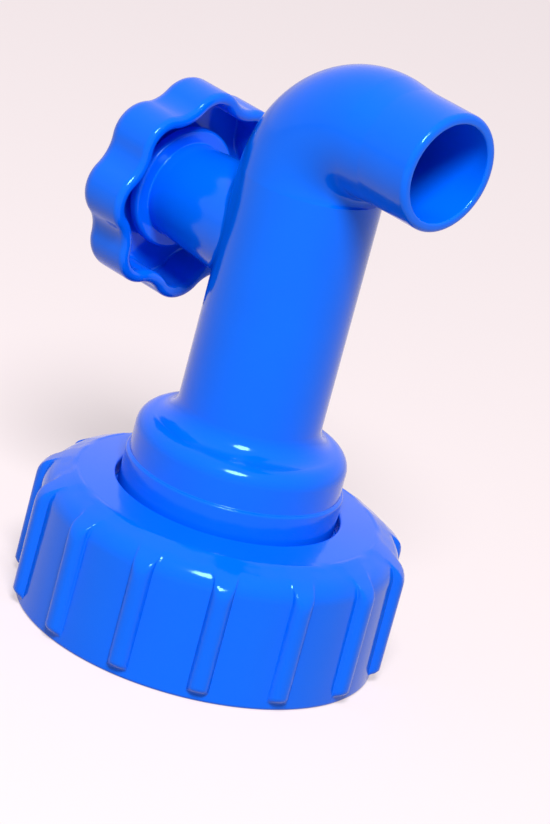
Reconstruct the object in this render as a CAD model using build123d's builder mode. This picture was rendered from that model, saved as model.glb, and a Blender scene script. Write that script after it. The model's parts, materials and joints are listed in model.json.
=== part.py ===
from build123d import *
import os
from math import cos, radians, sin

os.makedirs("parts", exist_ok=True)

# A dispensing tap for a liquid container: a ribbed screw cap clamps a one-piece body on the
# container's neck, and a lobed knob turns a plug across the body's stem.
# Millimetres. The stem stands on Z, the spout points along +X and the knob along -X.
# The origin lies on the stem's axis, in the plane of the cap's open rim.

# Screw cap
neck_thread_dia = 61.0
neck_thread_length = 16.0
thread_relief = 0.4
cap_skirt_wall = 2.5
cap_skirt_draft = 0.35
cap_top_wall = 3.3
cap_height = 26.5
cap_bevel_width = 5.0
cap_bevel_drop = 2.6
cap_crown_fall = 0.6
cap_shoulder_round = 3.0
cap_seat_inset = 0.6
cap_inner_shoulder_drop = 1.4
cap_hole_clearance = 0.7
rib_count = 14
rib_phase = 9.5
rib_radius = 2.0
rib_foot = 2.0
rib_top_round = 4.5
rib_top_sink = 0.15
cap_running_gap = 0.1

# Flange, seal and collar
flange_clearance = 2.5
flange_thickness = 2.9
flange_edge_round = 1.8
gasket_thickness = 2.5
gasket_clearance = 0.2
spigot_dia = 45.2
spigot_wall = 2.4
spigot_reach = 1.3
collar_lower_dia = 40.2
collar_lower_height = 8.4
collar_upper_dia = 39.0
collar_upper_height = 7.3
collar_round = 3.2
collar_wall = 3.0

# Stem, elbow and spout
stem_dia = 26.4
stem_wall = 3.0
spout_height = 101.1
bend_radius = 13.65
spout_root_dia = 22.9
spout_dia = 22.0
spout_wall = 1.9
spout_reach = 30.2
spout_taper_length = 5.0

# Plug housing and boss
knob_height = 73.8
port_dia = 8.4
plug_bore_dia = 13.8
housing_wall = 2.2
blind_depth = 9.4
boss_reach = 31.5
boss_tip_dia = 17.8
boss_root_dia = 22.0
boss_flange_dia = 23.0
boss_flange_width = 2.4
boss_flange_round = 0.8
boss_fillet = 2.0

# Plug, its seals and its retention
running_clearance = 0.05
seal_cord_dia = 1.7
seal_squeeze_gap = 0.03
seal_position = 7.3
plug_shoulder = 17.0
plug_neck_dia = 9.0
washer_thickness = 1.0
washer_clearance = 0.2
ring_thickness = 1.2
ring_groove_depth = 0.8
drive_square = 6.8
drive_offset = 1.0
drive_end_gap = 0.3

# Knob and its screw
knob_dia = 40.0
lobe_depth = 1.8
lobe_count = 8
lobe_radius = 6.5
lobe_phase = 43.0
knob_depth = 10.9
knob_floor_gap = 1.7
knob_wall = 2.3
knob_floor = 2.8
knob_edge_round = 3.0
knob_rim_round = 0.9
hub_clearance = 0.25
hub_gap = 0.8
socket_clearance = 0.1
screw_shank_dia = 3.8
screw_head_dia = 7.2
screw_head_height = 1.9
screw_head_recess = 0.3
screw_web = 2.0
screw_length = 12.0

# Quarter-turn stop between the boss and the knob
turn_angle = 90.0
lug_angle = 20.0
stop_clearance_angle = 1.0
notch_start = 200.0
notch_depth = 1.9
lug_clearance = 0.2

# Derived sizes
thread_r = neck_thread_dia / 2
skirt_r = thread_r + cap_skirt_wall
collar_lower_r = collar_lower_dia / 2
collar_upper_r = collar_upper_dia / 2
cap_hole_r = collar_lower_r + cap_hole_clearance
crown_r = skirt_r - cap_bevel_width
crown_z = cap_height - cap_crown_fall
shoulder_z = crown_z - cap_bevel_drop
bevel_slope = cap_bevel_drop / cap_bevel_width
rib_crest_r = skirt_r + rib_radius
rib_inner_r = thread_r + thread_relief
rib_top_z = crown_z - (rib_crest_r - crown_r) * bevel_slope - rib_top_sink
rib_top_inner_z = crown_z - (rib_inner_r - crown_r) * bevel_slope - rib_top_sink
seat_z = cap_height - cap_top_wall
inner_shoulder_z = shoulder_z - cap_inner_shoulder_drop
flange_r = thread_r - flange_clearance
flange_top = seat_z - cap_running_gap
flange_bottom = flange_top - flange_thickness
gasket_bottom = flange_bottom - gasket_thickness
spigot_bottom = gasket_bottom - spigot_reach
spigot_r = spigot_dia / 2
collar_step_z = flange_top + collar_lower_height
collar_top_z = collar_step_z + collar_upper_height
collar_bore_r = collar_lower_r - collar_wall
stem_r = stem_dia / 2
stem_bore_r = stem_r - stem_wall
plug_bore_r = plug_bore_dia / 2
port_r = port_dia / 2
housing_half = plug_bore_r + housing_wall
bend_z = spout_height - bend_radius
spout_r = spout_dia / 2
spout_root_r = spout_root_dia / 2
spout_bore_r = spout_r - spout_wall
boss_tip_r = boss_tip_dia / 2
boss_root_r = boss_root_dia / 2
boss_flange_r = boss_flange_dia / 2
boss_flange_start = boss_reach - boss_flange_width
plug_r = plug_bore_r - running_clearance
seal_groove_r = plug_bore_r - seal_cord_dia - 2 * seal_squeeze_gap
seal_groove_width = seal_cord_dia + 0.4
washer_start = plug_shoulder + running_clearance
ring_start = washer_start + washer_thickness + running_clearance
ring_groove_end = ring_start + ring_thickness + 2 * running_clearance
ring_r = plug_bore_r + ring_groove_depth
hub_r = plug_bore_r - hub_clearance
floor_inside = boss_reach + knob_floor_gap
knob_front = floor_inside + knob_floor
knob_back = knob_front - knob_depth
screw_seat = knob_front - screw_head_height - screw_head_recess
screw_web_inside = screw_seat - screw_web
drive_start = ring_groove_end + drive_offset
drive_end = screw_web_inside - drive_end_gap
hub_start = drive_start + hub_gap

# Planes and axes of the two side branches. Local y points up in each of them.
knob_axis = Axis((0, 0, knob_height), (-1, 0, 0))
knob_section = Plane(origin=(0, 0, knob_height), x_dir=(-1, 0, 0), z_dir=(0, 1, 0))
knob_face = Plane(origin=(0, 0, knob_height), x_dir=(0, -1, 0), z_dir=(-1, 0, 0))
spout_axis = Axis((0, 0, spout_height), (1, 0, 0))
spout_section = Plane(origin=(0, 0, spout_height), x_dir=(1, 0, 0), z_dir=(0, -1, 0))


def rounded_outline(corners):
    """Closed outline through (point, corner radius) pairs."""
    points = [point for point, radius in corners]
    radii = [radius for point, radius in corners]
    FilletPolyline(*points, radius=radii, close=True)


def polar(radius, angle):
    return (radius * cos(radians(angle)), radius * sin(radians(angle)))


def ring_sector(inner_r, outer_r, start, sweep):
    """Closed outline of a piece of a flat ring."""
    CenterArc((0, 0), outer_r, start, sweep)
    CenterArc((0, 0), inner_r, start, sweep)
    Line(polar(inner_r, start), polar(outer_r, start))
    Line(polar(inner_r, start + sweep), polar(outer_r, start + sweep))


def lobed_outline(inset):
    """Lobes and hollows of the knob as tangent arcs, drawn a constant inset inside its outside."""
    crest = knob_dia / 2 - inset
    valley = knob_dia / 2 - lobe_depth - inset
    lobe = lobe_radius - inset
    centre = crest - lobe
    half = 180 / lobe_count
    along = centre * cos(radians(half))
    hollow = (centre**2 + valley**2 - 2 * valley * along - lobe**2) / (2 * (lobe - valley + along))
    share = lobe / (lobe + hollow)
    for index in range(lobe_count):
        middle = lobe_phase + index * 2 * half
        here = Vector(*polar(centre, middle))
        before = Vector(*polar(valley + hollow, middle - half))
        after = Vector(*polar(valley + hollow, middle + half))
        following = Vector(*polar(centre, middle + 2 * half))
        start = here + (before - here) * share
        end = here + (after - here) * share
        next_start = following + (after - following) * share
        ThreePointArc(start, polar(crest, middle), end)
        ThreePointArc(end, polar(valley, middle + half), next_start)


# One rib of the cap's grip, a half-round bar that rounds over at its top and runs into the bevel
with BuildPart() as grip_rib:
    with BuildSketch(Plane.XY.offset(rib_foot)):
        with Locations((skirt_r, 0)):
            Circle(rib_radius)
    extrude(amount=cap_height - rib_foot)
    with BuildSketch(Plane.XZ):
        with BuildLine():
            rounded_outline(
                [
                    ((rib_inner_r, 0), 0),
                    ((rib_crest_r, 0), 0),
                    ((rib_crest_r, rib_top_z), rib_top_round),
                    ((rib_inner_r, rib_top_inner_z), 0),
                ]
            )
        make_face()
    revolve(axis=Axis.Z, mode=Mode.INTERSECT)

# Screw cap: a turned shell with a bevelled shoulder and a clearance hole for the collar
with BuildPart() as screw_cap:
    with BuildSketch(Plane.XZ):
        with BuildLine():
            rounded_outline(
                [
                    ((thread_r, 0), 0),
                    ((skirt_r + cap_skirt_draft, 0), 0.6),
                    ((skirt_r, shoulder_z), cap_shoulder_round),
                    ((crown_r, crown_z), 5),
                    ((cap_hole_r, cap_height), 0.5),
                    ((cap_hole_r, seat_z), 0),
                    ((crown_r - cap_seat_inset, seat_z), 0.8),
                    ((thread_r + thread_relief, inner_shoulder_z), 0.8),
                    ((thread_r + thread_relief, neck_thread_length), 0),
                    ((thread_r, neck_thread_length), 0),
                ]
            )
        make_face()
    revolve(axis=Axis.Z)
    with PolarLocations(0, rib_count, start_angle=rib_phase):
        add(grip_rib.part)
screw_cap.part.label = "screw_cap"
export_step(screw_cap.part, "parts/screw_cap.step")

# Body: flange, collar, stem, elbow, spout and plug housing in one moulding
with BuildLine(Plane.XZ) as bend:
    CenterArc((bend_radius, bend_z), bend_radius, 180, -90)

with BuildPart() as tap_body:
    with BuildSketch(Plane.XZ):
        with BuildLine():
            rounded_outline(
                [
                    ((0, spigot_bottom), 0),
                    ((spigot_r, spigot_bottom), 0.6),
                    ((spigot_r, flange_bottom), 0),
                    ((flange_r, flange_bottom), 0.4),
                    ((flange_r, flange_top), flange_edge_round),
                    ((collar_lower_r, flange_top), 0),
                    ((collar_lower_r, collar_step_z), 0.4),
                    ((collar_upper_r, collar_step_z), 0.2),
                    ((collar_upper_r, collar_top_z), collar_round),
                    ((stem_r, collar_top_z), 1.5),
                    ((stem_r, bend_z), 0),
                    ((0, bend_z), 0),
                ]
            )
        make_face()
    revolve(axis=Axis.Z)
    with BuildSketch(bend.line ^ 0):
        Circle(stem_r)
    with BuildSketch(bend.line ^ 1):
        Circle(spout_root_r)
    sweep(path=bend.line, multisection=True)
    with BuildSketch(spout_section):
        with BuildLine():
            rounded_outline(
                [
                    ((bend_radius, 0), 0),
                    ((bend_radius, spout_root_r), 0),
                    ((bend_radius + spout_taper_length, spout_r), 0),
                    ((spout_reach, spout_r), 0.5),
                    ((spout_reach, 0), 0),
                ]
            )
        make_face()
    revolve(axis=spout_axis)
    with BuildSketch(knob_section):
        with BuildLine():
            rounded_outline(
                [
                    ((0, 0), 0),
                    ((0, boss_root_r), 0),
                    ((boss_flange_start, boss_tip_r), 0),
                    ((boss_flange_start, boss_flange_r), boss_flange_round),
                    ((boss_reach, boss_flange_r), boss_flange_round),
                    ((boss_reach, 0), 0),
                ]
            )
        make_face()
    revolve(axis=knob_axis)
    fillet(tap_body.edges(Select.LAST).filter_by(GeomType.BSPLINE), boss_fillet)

    # Waterways: a wide mouth below, the stem's bore, the bent upper bore and the spout
    with BuildSketch(Plane.XZ):
        with BuildLine():
            rounded_outline(
                [
                    ((0, spigot_bottom), 0),
                    ((spigot_r - spigot_wall, spigot_bottom), 0.6),
                    ((spigot_r - spigot_wall, flange_bottom), 1),
                    ((collar_bore_r, flange_top), 1),
                    ((collar_bore_r, collar_top_z - collar_wall), 2),
                    ((stem_bore_r, collar_top_z - collar_wall / 2), 2),
                    ((stem_bore_r, knob_height - housing_half), 1.5),
                    ((0, knob_height - housing_half), 0),
                ]
            )
        make_face()
    revolve(axis=Axis.Z, mode=Mode.SUBTRACT)
    with BuildSketch(Plane.XY.offset(knob_height + housing_half)):
        Circle(stem_bore_r)
    extrude(amount=bend_z - knob_height - housing_half, mode=Mode.SUBTRACT)
    with BuildSketch(bend.line ^ 0):
        Circle(stem_bore_r)
    with BuildSketch(bend.line ^ 1):
        Circle(spout_bore_r)
    sweep(path=bend.line, multisection=True, mode=Mode.SUBTRACT)
    with BuildSketch(Plane.YZ.offset(bend_radius)):
        with Locations((0, spout_height)):
            Circle(spout_bore_r)
    extrude(amount=spout_reach - bend_radius, mode=Mode.SUBTRACT)

    # Ports above and below the plug, the plug's blind bore with its ring groove, and the stop notch
    with BuildSketch(Plane.XY.offset(knob_height - housing_half)):
        Circle(port_r)
    extrude(amount=2 * housing_half, mode=Mode.SUBTRACT)
    with BuildSketch(knob_section):
        with BuildLine():
            Polyline(
                (-blind_depth, 0),
                (-blind_depth, plug_bore_r),
                (ring_start, plug_bore_r),
                (ring_start, ring_r),
                (ring_groove_end, ring_r),
                (ring_groove_end, plug_bore_r),
                (boss_reach, plug_bore_r),
                (boss_reach, 0),
                close=True,
            )
        make_face()
    revolve(axis=knob_axis, mode=Mode.SUBTRACT)
    with BuildSketch(knob_face.offset(boss_reach - notch_depth)):
        with BuildLine():
            ring_sector(
                plug_bore_r - 0.5,
                boss_tip_r,
                notch_start,
                turn_angle + lug_angle + 2 * stop_clearance_angle,
            )
        make_face()
    extrude(amount=notch_depth, mode=Mode.SUBTRACT)
tap_body.part.label = "tap_body"
export_step(tap_body.part, "parts/tap_body.step")

# Flat seal between the flange and the container's neck
with BuildPart() as neck_gasket:
    with BuildSketch(Plane.XY.offset(gasket_bottom)):
        Circle(flange_r)
        Circle(spigot_r + gasket_clearance, mode=Mode.SUBTRACT)
    extrude(amount=gasket_thickness)
neck_gasket.part.label = "neck_gasket"
export_step(neck_gasket.part, "parts/neck_gasket.step")

# Plug: a grooved barrel with a cross port, a neck and a square drive, stored with the port closed
with BuildPart() as valve_plug:
    with BuildSketch(knob_section):
        with BuildLine():
            Polyline(
                (-blind_depth + washer_clearance, 0),
                (-blind_depth + washer_clearance, plug_r),
                (-seal_position - seal_groove_width / 2, plug_r),
                (-seal_position - seal_groove_width / 2, seal_groove_r),
                (-seal_position + seal_groove_width / 2, seal_groove_r),
                (-seal_position + seal_groove_width / 2, plug_r),
                (seal_position - seal_groove_width / 2, plug_r),
                (seal_position - seal_groove_width / 2, seal_groove_r),
                (seal_position + seal_groove_width / 2, seal_groove_r),
                (seal_position + seal_groove_width / 2, plug_r),
                (plug_shoulder, plug_r),
                (plug_shoulder, plug_neck_dia / 2),
                (drive_start, plug_neck_dia / 2),
                (drive_start, 0),
                close=True,
            )
        make_face()
    revolve(axis=knob_axis)
    with BuildSketch(knob_face.offset(drive_start)):
        RectangleRounded(drive_square, drive_square, 0.8)
    extrude(amount=drive_end - drive_start)
    with BuildSketch(knob_face.offset(drive_end)):
        Circle(screw_shank_dia / 2 + seal_squeeze_gap)
    extrude(amount=-screw_length + 1, mode=Mode.SUBTRACT)
    with Locations(Location((0, 0, knob_height), (90, 0, 0))):
        Cylinder(port_r, plug_bore_dia + 2, mode=Mode.SUBTRACT)
valve_plug.part.label = "valve_plug"
export_step(valve_plug.part, "parts/valve_plug.step")

# Two O-rings that seal the barrel on each side of the port
for side, name in ((-1, "inner_seal"), (1, "outer_seal")):
    with BuildPart() as plug_seal:
        with BuildSketch(knob_section):
            with Locations((side * seal_position, plug_bore_r - seal_squeeze_gap - seal_cord_dia / 2)):
                Circle(seal_cord_dia / 2)
        revolve(axis=knob_axis)
    plug_seal.part.label = name
    export_step(plug_seal.part, f"parts/{name}.step")

# Thrust washer that the plug's shoulder turns against
with BuildPart() as thrust_washer:
    with BuildSketch(knob_face.offset(washer_start)):
        Circle(plug_bore_r - running_clearance)
        Circle(plug_neck_dia / 2 + washer_clearance, mode=Mode.SUBTRACT)
    extrude(amount=washer_thickness)
thrust_washer.part.label = "thrust_washer"
export_step(thrust_washer.part, "parts/thrust_washer.step")

# Open spring ring in the boss's groove, which keeps the washer and the plug in
with BuildPart() as retaining_ring:
    with BuildSketch(knob_face.offset(ring_start + running_clearance)):
        with BuildLine():
            ring_sector(plug_neck_dia / 2 + 1.0, ring_r - running_clearance, 110, 320)
        make_face()
    extrude(amount=ring_thickness)
retaining_ring.part.label = "retaining_ring"
export_step(retaining_ring.part, "parts/retaining_ring.step")

# Knob: a lobed cup, open towards the stem, with a square-bored hub and a stop lug
with BuildPart() as knob:
    with BuildSketch(knob_face.offset(knob_back)):
        with BuildLine():
            lobed_outline(0)
        make_face()
    extrude(amount=knob_front - knob_back)
    fillet(knob.faces().sort_by(knob_axis)[-1].edges(), knob_edge_round)
    with BuildSketch(knob_face.offset(knob_back)):
        with BuildLine():
            lobed_outline(knob_wall)
        make_face()
    extrude(amount=floor_inside - knob_back, mode=Mode.SUBTRACT)
    fillet(knob.faces().sort_by(knob_axis)[0].edges(), knob_rim_round)
    with BuildSketch(knob_face.offset(hub_start)):
        Circle(hub_r)
    extrude(amount=floor_inside - hub_start)
    with BuildSketch(knob_face.offset(floor_inside)):
        with BuildLine():
            ring_sector(
                plug_bore_r + lug_clearance,
                boss_tip_r - lug_clearance,
                notch_start + stop_clearance_angle,
                lug_angle,
            )
        make_face()
    extrude(amount=-(floor_inside - boss_reach + notch_depth - lug_clearance))
    with BuildSketch(knob_face.offset(hub_start)):
        RectangleRounded(drive_square + 2 * socket_clearance, drive_square + 2 * socket_clearance, 0.8)
    extrude(amount=screw_web_inside - hub_start, mode=Mode.SUBTRACT)
    with BuildSketch(knob_face.offset(screw_seat)):
        Circle(screw_head_dia / 2 + lug_clearance)
    extrude(amount=knob_front - screw_seat, mode=Mode.SUBTRACT)
    with BuildSketch(knob_face.offset(screw_web_inside)):
        Circle(screw_shank_dia / 2 + lug_clearance)
    extrude(amount=screw_web, mode=Mode.SUBTRACT)
knob.part.label = "knob"
export_step(knob.part, "parts/knob.step")

# Screw that holds the knob on the plug's square
with BuildPart() as knob_screw:
    with BuildSketch(knob_section):
        with BuildLine():
            rounded_outline(
                [
                    ((screw_seat - screw_length, 0), 0),
                    ((screw_seat - screw_length, screw_shank_dia / 2), 0.5),
                    ((screw_seat, screw_shank_dia / 2), 0),
                    ((screw_seat, screw_head_dia / 2), 0),
                    ((screw_seat + screw_head_height, screw_head_dia / 2), 1.2),
                    ((screw_seat + screw_head_height, 0), 0),
                ]
            )
        make_face()
    revolve(axis=knob_axis)
    with BuildSketch(knob_face.offset(screw_seat + screw_head_height)):
        Rectangle(screw_head_dia * 0.6, 0.9)
        Rectangle(0.9, screw_head_dia * 0.6)
    extrude(amount=-screw_head_height * 0.6, mode=Mode.SUBTRACT)
knob_screw.part.label = "knob_screw"
export_step(knob_screw.part, "parts/knob_screw.step")
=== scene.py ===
import json
import math

import bmesh
import bpy
import numpy as np
from mathutils import Matrix, Vector


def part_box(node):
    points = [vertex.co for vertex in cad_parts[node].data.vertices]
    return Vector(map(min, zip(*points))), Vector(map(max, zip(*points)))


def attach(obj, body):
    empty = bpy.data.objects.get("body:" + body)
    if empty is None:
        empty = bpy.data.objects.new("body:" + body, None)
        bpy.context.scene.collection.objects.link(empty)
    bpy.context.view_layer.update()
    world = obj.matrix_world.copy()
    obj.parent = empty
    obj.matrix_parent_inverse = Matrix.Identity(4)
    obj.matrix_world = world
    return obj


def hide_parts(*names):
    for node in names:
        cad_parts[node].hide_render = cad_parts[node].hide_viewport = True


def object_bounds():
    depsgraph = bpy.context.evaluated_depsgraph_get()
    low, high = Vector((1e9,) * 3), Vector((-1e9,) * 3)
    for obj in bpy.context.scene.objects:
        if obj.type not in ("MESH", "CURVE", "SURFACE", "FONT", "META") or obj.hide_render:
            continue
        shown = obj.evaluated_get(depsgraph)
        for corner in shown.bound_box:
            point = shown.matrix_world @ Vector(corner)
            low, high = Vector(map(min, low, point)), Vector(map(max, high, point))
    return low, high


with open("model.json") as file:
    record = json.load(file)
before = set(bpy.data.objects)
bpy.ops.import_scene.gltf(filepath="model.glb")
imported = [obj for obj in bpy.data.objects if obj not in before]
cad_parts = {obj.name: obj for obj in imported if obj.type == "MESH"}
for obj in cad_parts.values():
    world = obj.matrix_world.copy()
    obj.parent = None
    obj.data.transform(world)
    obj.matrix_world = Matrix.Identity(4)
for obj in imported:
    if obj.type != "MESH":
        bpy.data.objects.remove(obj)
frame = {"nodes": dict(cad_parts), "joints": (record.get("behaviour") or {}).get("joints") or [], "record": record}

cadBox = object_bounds()

# A blue moulded tap. Its cap, body and knob are worked out here as smooth surfaces, and its small
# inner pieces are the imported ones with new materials. The stem stands on Z and the spout points
# along +X. Shapes are in millimetres until a mesh is made; materials and the setting are in metres.
mm = 0.001
mounts = {mount["name"]: mount for mount in frame["record"]["mounts"]}
joints = {joint["name"]: joint for joint in frame["joints"]}
knobHeight = joints["knob_turn"]["pos_m"][2] / mm
spoutHeight = mounts["spout_bore"]["pos_m"][2] / mm
spoutReach = mounts["spout_bore"]["pos_m"][0] / mm


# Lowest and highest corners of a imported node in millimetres
def nodeBox(node):
    low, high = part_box(node)
    return np.array(low) / mm, np.array(high) / mm


# Surfaces

# Closed outline through (a, b, round) corners. Each corner becomes an arc about a centre, tangent
# to its two runs, and a point close beside each end of the arc keeps the runs flat where they are
# shaded smooth. No step on a run is over longest.
def roundedLoop(corners, longest, arcSteps=8, beside=0.12):
    points = np.array([corner[:2] for corner in corners], float)
    radii = np.array([corner[2] for corner in corners], float)
    toBefore = np.roll(points, 1, axis=0) - points
    toAfter = np.roll(points, -1, axis=0) - points
    runs = np.linalg.norm(toAfter, axis=1)
    toBefore /= np.linalg.norm(toBefore, axis=1, keepdims=True)
    toAfter /= runs[:, None]
    half = np.arccos(np.clip((toBefore * toAfter).sum(axis=1), -1, 1)) / 2
    reach = radii / np.tan(half)
    middle = toBefore + toAfter
    middle /= np.linalg.norm(middle, axis=1, keepdims=True)
    centres = points + middle * (radii / np.sin(half))[:, None]
    first = points + toBefore * reach[:, None] - centres
    last = points + toAfter * reach[:, None] - centres
    turn = (math.pi - 2 * half)[:, None, None]
    share = np.linspace(0, 1, arcSteps + 1)[None, :, None]
    arcs = np.sin((1 - share) * turn) * first[:, None] + np.sin(share * turn) * last[:, None]
    arcs = centres[:, None] + arcs / np.sin(turn)
    free = runs - reach - np.roll(reach, -1)
    pieces = []
    for index, arc in enumerate(arcs):
        hold = min(beside, free[index] / 3)
        steps = max(1, math.ceil((free[index] - 2 * hold) / longest))
        along = np.linspace(hold, free[index] - hold, steps + 1)
        pieces += [arc, arc[-1] + toAfter[index] * along[:, None]]
    return np.concatenate(pieces)


# Quads of a grid of points, row by row, closed across its rows or along its columns where asked
def gridQuads(rows, columns, closeRows=False, closeColumns=True):
    numbers = np.arange(rows * columns).reshape(rows, columns)
    if closeRows:
        numbers = np.concatenate([numbers, numbers[:1]])
    if closeColumns:
        numbers = np.concatenate([numbers, numbers[:, :1]], axis=1)
    corners = numbers[:-1, :-1], numbers[1:, :-1], numbers[1:, 1:], numbers[:-1, 1:]
    return np.stack(corners, axis=-1)


# Object that carries a mesh, a lamp or a camera, linked into the scene
def placed(name, data):
    made = bpy.data.objects.new(name, data)
    bpy.context.scene.collection.objects.link(made)
    return made


# Six times the volume that quads enclose, below zero where they face inwards: the sum, over the
# quads, of the middle of each times twice its area as a vector
def enclosed(points, quads):
    a, b, c, d = (points[quads[:, corner]] for corner in range(4))
    return ((a + b + c + d) / 4 * np.cross(c - a, d - b)).sum()


# Mesh object from points in millimetres and quads, turned so that its faces point outwards
def meshPiece(name, points, quads):
    quads = quads.reshape(-1, 4)
    if enclosed(points, quads) < 0:
        quads = quads[:, ::-1]
    mesh = bpy.data.meshes.new(name)
    mesh.vertices.add(len(points))
    mesh.vertices.foreach_set("co", (points * mm).astype(np.float32).ravel())
    mesh.loops.add(quads.size)
    mesh.loops.foreach_set("vertex_index", quads.astype(np.int32).ravel())
    mesh.polygons.add(len(quads))
    mesh.polygons.foreach_set("loop_start", np.arange(0, quads.size, 4, dtype=np.int32))
    mesh.update(calc_edges=True)
    mesh.validate()
    mesh.shade_smooth()
    return placed(name, mesh)


# Joins a tool to a piece or cuts it out, and then drops the tool. New edges stay crisp.
def carve(piece, tool, operation, crispAngle=35):
    change = piece.modifiers.new("carve", "BOOLEAN")
    change.operation = operation
    change.solver = "EXACT"
    change.object = tool
    ready = piece.evaluated_get(bpy.context.evaluated_depsgraph_get())
    mesh = bpy.data.meshes.new_from_object(ready)
    piece.modifiers.clear()
    piece.data = mesh
    mesh.name = piece.name
    mesh.shade_smooth()
    mesh.set_sharp_from_angle(angle=math.radians(crispAngle))
    bpy.data.objects.remove(tool)


# Even shares of a way as one column, without its start and with its end
def shares(count):
    return np.linspace(0, 1, count + 1)[1:, None]


# Runs from 0 to 1 as the value does, and is level at both ends: three squares less two cubes
def smoothStep(value):
    value = np.clip(value, 0, 1)
    return value * value * (3 - 2 * value)


# The larger of two values, rounded off where they are within soft of each other
def softMax(first, second, soft):
    near = np.maximum(soft - np.abs(first - second), 0)
    return np.maximum(first, second) + near * near / (4 * soft)


# The smaller of two values, rounded off in the same way
def softMin(first, second, soft):
    return -softMax(-first, -second, soft)


# Points on the knob's side of the body: a distance out along -X and a radius and an angle round the
# knob's axis, where angle 0 points along -Y and 90 degrees up
def knobPoints(distance, radius, angle):
    distance, radius, angle = np.broadcast_arrays(distance, radius, angle)
    side = -radius * np.cos(angle)
    up = knobHeight + radius * np.sin(angle)
    return np.stack([-distance, side, up], axis=-1)


# Screw cap
capForm = {
    "threadRadius": mounts["neck_thread"]["dims"]["r_mm"],
    "threadLength": mounts["neck_thread"]["dims"]["length_mm"],
    "relief": 0.4,
    "skirtWall": 2.5,
    "draft": 0.35,
    "height": nodeBox("screw_cap")[1][2],
    "topWall": 3.3,
    "crownFall": 0.6,
    "bevelWidth": 5.0,
    "bevelDrop": 2.6,
    "openRimRound": 0.6,
    "shoulderRound": 4.5,
    "crownRound": 5.0,
    "holeRound": 0.5,
    "innerRound": 0.8,
    "lipRound": 0.25,
    "stepRound": 0.15,
    "holeRadius": 20.8,
    "seatInset": 0.6,
    "innerShoulderDrop": 1.4,
    "ribs": 14,
    "ribPhase": 9.5,  # degrees from +X to the first rib
    "ribRadius": 2.0,
    "ribFoot": 1.6,
    "ribFootSlope": 0.9,
    "ribTopRound": 4.5,
    "ribTopSink": 0.15,
    "ribTopBlend": 0.5,
    "ribBlend": 0.7,
    "ribInnerReach": 3.0,
    "ribInnerSlope": 0.5,
    "crestAngle": 78,  # degrees round a rib that the close columns span
    "crestColumns": 7,
    "flankColumns": (1.0, 1.03, 1.07, 1.13, 1.25, 1.5),
    "skirtColumns": 4,
    "ridgeHeight": 1.2,
    "ridgePitch": 4.0,
    "ridgeStart": 2.6,
    "ridgeTurns": 2.6,  # turns, as the run-out is
    "ridgeHalfWidth": 1.3,
    "ridgeFlank": 0.8,
    "ridgeRunOut": 0.08,
    "longestStep": 0.5,
    "arcSteps": 8,
}


# How far each point can move along its own direction before it meets an open line of points: the
# nearest of its crossings with the line's straight runs. A point that already lies beyond the line
# gets a distance below zero.
def reachOf(points, directions, line):
    tiny = 1e-9
    start, step = line[:-1], line[1:] - line[:-1]
    gap = start[None] - points[:, None]
    cross = directions[:, None, 0] * step[None, :, 1] - directions[:, None, 1] * step[None, :, 0]
    cross = np.where(np.abs(cross) < tiny, tiny, cross)
    far = (gap[..., 0] * step[None, :, 1] - gap[..., 1] * step[None, :, 0]) / cross
    share = (gap[..., 0] * directions[:, None, 1] - gap[..., 1] * directions[:, None, 0]) / cross
    far = np.where((share >= 0) & (share <= 1), far, np.inf)
    nearest = np.abs(far).argmin(axis=1)
    return np.take_along_axis(far, nearest[:, None], axis=1)


# The crest of a rib seen in section, from far below it: straight up, round over, and inwards along
# the bevel
def ribCrest(form):
    skirt = form["threadRadius"] + form["skirtWall"]
    crown = skirt - form["bevelWidth"]
    crest = skirt + form["ribRadius"]
    slope = form["bevelDrop"] / form["bevelWidth"]
    crownHeight = form["height"] - form["crownFall"] - form["ribTopSink"]
    low = [crest, -form["height"]]
    corner = [crest, crownHeight - (crest - crown) * slope]
    high = [0, crownHeight + crown * slope]
    turns = [(*low, 0), (*corner, form["ribTopRound"]), (*high, 0)]
    loop = roundedLoop(turns, longest=math.inf, arcSteps=24)
    bend = loop[(loop[:, 0] > crown) & (loop[:, 1] > 0)]
    return np.concatenate([[low], bend, [high]])


# Half-round ribs stand on the skirt: a rib's height over a point is how far the outline's normal
# runs from it before it leaves an upright bar of the rib's radius or passes the rib's crest. It is 0
# below the rib's foot, inside the cap, and where the normal hardly points outwards.
def ribHeight(form, outline, normal, angle):
    pitch = 2 * math.pi / form["ribs"]
    fromRib = (angle - math.radians(form["ribPhase"]) + pitch / 2) % pitch - pitch / 2
    skirt = form["threadRadius"] + form["skirtWall"]
    radius, height = outline[:, :1], outline[:, 1:]
    half = form["ribRadius"] ** 2 - (skirt * np.sin(fromRib)) ** 2
    bar = skirt * np.cos(fromRib) + np.sign(half) * np.sqrt(np.abs(half))
    leastOutward = 0.1
    outward = np.maximum(normal[:, :1], leastOutward)
    crest = reachOf(outline, normal, ribCrest(form))
    leaves = softMin((bar - radius) / outward, crest, form["ribTopBlend"])
    foot = smoothStep((height - form["ribFoot"]) / form["ribFootSlope"])
    innerEnd = form["threadRadius"] - form["ribInnerReach"]
    inner = smoothStep((radius - innerEnd) / form["ribInnerSlope"])
    outside = inner * (normal[:, :1] > leastOutward)
    return softMax(leaves, np.zeros_like(leaves), form["ribBlend"]) * foot * outside


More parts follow.
